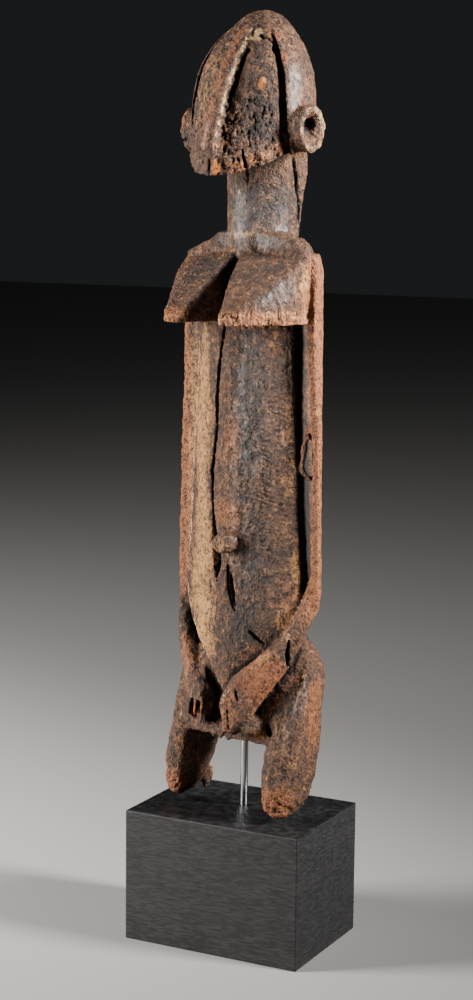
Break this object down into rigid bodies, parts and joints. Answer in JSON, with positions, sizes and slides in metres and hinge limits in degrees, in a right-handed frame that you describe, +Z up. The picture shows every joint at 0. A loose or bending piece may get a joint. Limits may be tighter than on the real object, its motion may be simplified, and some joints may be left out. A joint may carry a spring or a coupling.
{
  "type": "carved wooden figure",
  "caption": "Standing figure carved from one piece of wood, with a ridged helmet-like head, wedge breasts, long slotted arms and broken leg stumps, on a steel rod above a black wooden block.",
  "frame": {"origin": "middle of the plinth's flat underside", "axes": "+Z up along the figure; +X along the plinth's long side, to the figure's own left; the plinth's front and the figure's face look along -Y, the figure turned 12 degrees towards -X"},
  "size_m": [0.1, 0.0803, 0.481],
  "materials": {
    "wood_patina": "old dark patina, matt, worn to warm bare wood at edges",
    "rod_steel": "polished round bar",
    "black_wood": "black stain, satin, with fine straight grain"
  },
  "bodies": {
    "root": {"figure": "wood_patina", "rod": "rod_steel", "plinth": "black_wood"}
  },
  "joints": []
}
